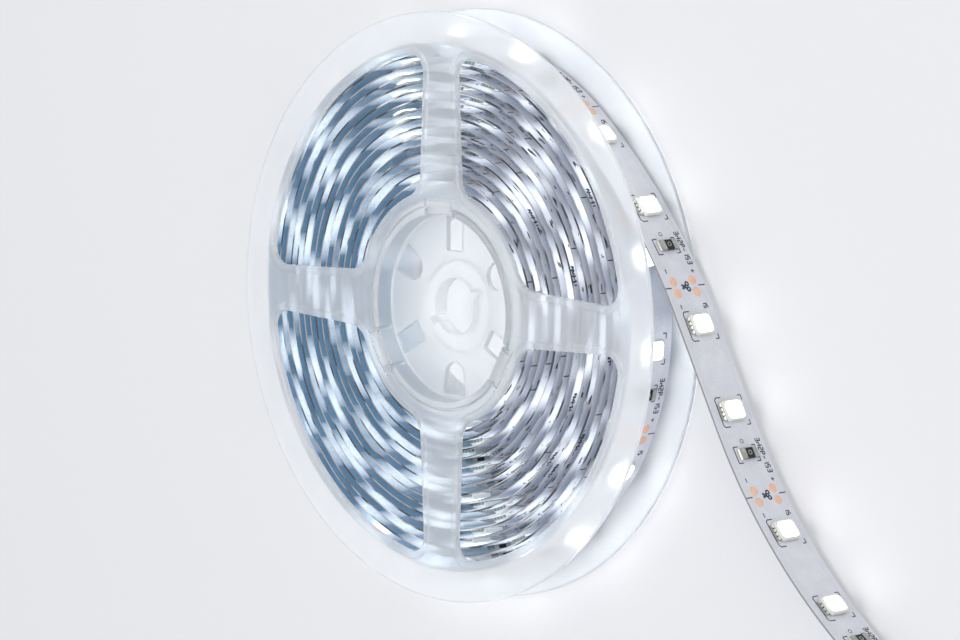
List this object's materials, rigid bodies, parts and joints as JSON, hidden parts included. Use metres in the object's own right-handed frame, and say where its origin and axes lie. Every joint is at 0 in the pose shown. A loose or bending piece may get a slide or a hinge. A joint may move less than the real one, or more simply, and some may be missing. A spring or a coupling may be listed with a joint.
{
  "type": "led strip light reel",
  "caption": "Flexible lit strip of small surface-mounted lamps, wound flat on a frosted snap-together reel with fan-shaped windows, its loose end running free.",
  "frame": {"origin": "middle of the part's base on the surface it lies on", "axes": "+Z along the reel's axis, out of its front flange; +X towards the loose end of the strip"},
  "size_m": [0.1292, 0.088, 0.0106],
  "materials": {
    "frosted_plastic": "translucent frosted, satin",
    "strip_board": "white solder mask, satin",
    "strip_backing": "smooth release film on adhesive, glossy",
    "lamp_white": "lit phosphor in a white moulded body",
    "resistor_black": "black glaze between bright metal ends",
    "copper_pad": "bare copper, satin",
    "print_ink": "printed marks",
    "bright_metal": "tinned terminals"
  },
  "bodies": {
    "root": {"front_flange": "frosted_plastic", "rear_flange": "frosted_plastic", "strip_coil": "strip_board", "strip_tail": "strip_board", "lamp_1": "lamp_white", "lamp_2": "lamp_white", "lamp_3": "lamp_white", "lamp_4": "lamp_white", "lamp_5": "lamp_white", "lamp_6": "lamp_white", "resistor_1": "resistor_black", "resistor_2": "resistor_black", "resistor_3": "resistor_black"}
  },
  "joints": []
}
